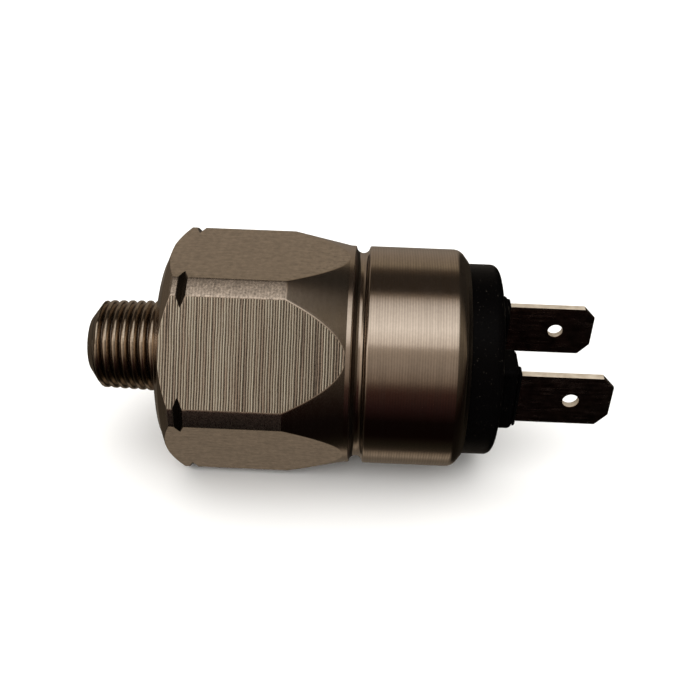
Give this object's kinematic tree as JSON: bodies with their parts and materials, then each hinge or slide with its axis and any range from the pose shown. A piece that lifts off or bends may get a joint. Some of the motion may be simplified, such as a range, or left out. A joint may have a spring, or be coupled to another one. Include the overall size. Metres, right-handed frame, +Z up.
{
  "type": "pressure switch",
  "caption": "Screw-in pressure switch: hexagon steel body with a short taper thread, crimped black terminal base and two push-on blade terminals.",
  "frame": {"origin": "on the switch's axis, in the plane of the hexagon's shoulder behind the thread", "axes": "+X along the axis, from the thread towards the terminals; +Z up, square to the flat of the hexagon that the switch lies on; +Y completes the frame"},
  "size_m": [0.0564, 0.0266, 0.024],
  "materials": {
    "plated_steel": "zinc-nickel plated free-cutting steel, turned and milled",
    "nitrile_rubber": "moulded, matt",
    "zinc_plated_ring": "zinc plated, turned",
    "brass": "turned, bare",
    "natural_nylon": "moulded, natural colour",
    "spring_steel": "drawn wire, oiled",
    "contact_silver": "fine silver, coined",
    "black_nylon": "glass-filled, moulded, black",
    "tinned_brass": "stamped, tin plated"
  },
  "bodies": {
    "housing": {"hex_body": "plated_steel", "diaphragm": "nitrile_rubber", "support_ring": "zinc_plated_ring", "main_spring": "spring_steel", "threaded_insert": "brass", "insulating_sleeve": "natural_nylon", "fixed_contacts": "contact_silver", "terminal_base": "black_nylon", "base_o_ring": "nitrile_rubber", "spade_terminal_front": "tinned_brass", "spade_terminal_rear": "tinned_brass"},
    "plunger": {"pressure_piston": "brass", "contact_tappet": "natural_nylon", "lower_spring_seat": "zinc_plated_ring", "contact_bridge": "brass", "bridge_retainer": "spring_steel", "moving_contacts": "contact_silver"},
    "spring_seat": {"spring_cap": "zinc_plated_ring"},
    "adjuster": {"adjusting_screw": "brass", "adjuster_o_ring": "nitrile_rubber"}
  },
  "joints": [
    {"name": "plunger_stroke", "type": "slide", "parent": "housing", "child": "plunger", "axis": [1, 0, 0], "range_m": [0, 0.00058], "stiffness_N_per_m": 4000, "deforming": ["main_spring"]},
    {"name": "adjuster_travel", "type": "slide", "parent": "housing", "child": "spring_seat", "axis": [1, 0, 0], "range_m": [-0.0008, 0.0008], "deforming": ["main_spring"]},
    {"name": "adjuster_turn", "type": "hinge", "parent": "spring_seat", "child": "adjuster", "pos_m": [0.03, 0, 0], "axis": [1, 0, 0], "range_deg": [-360, 360]}
  ],
  "couplings": [
    {"joint": "adjuster_turn", "follows": "adjuster_travel", "rad_per_m": 7853.9}
  ]
}
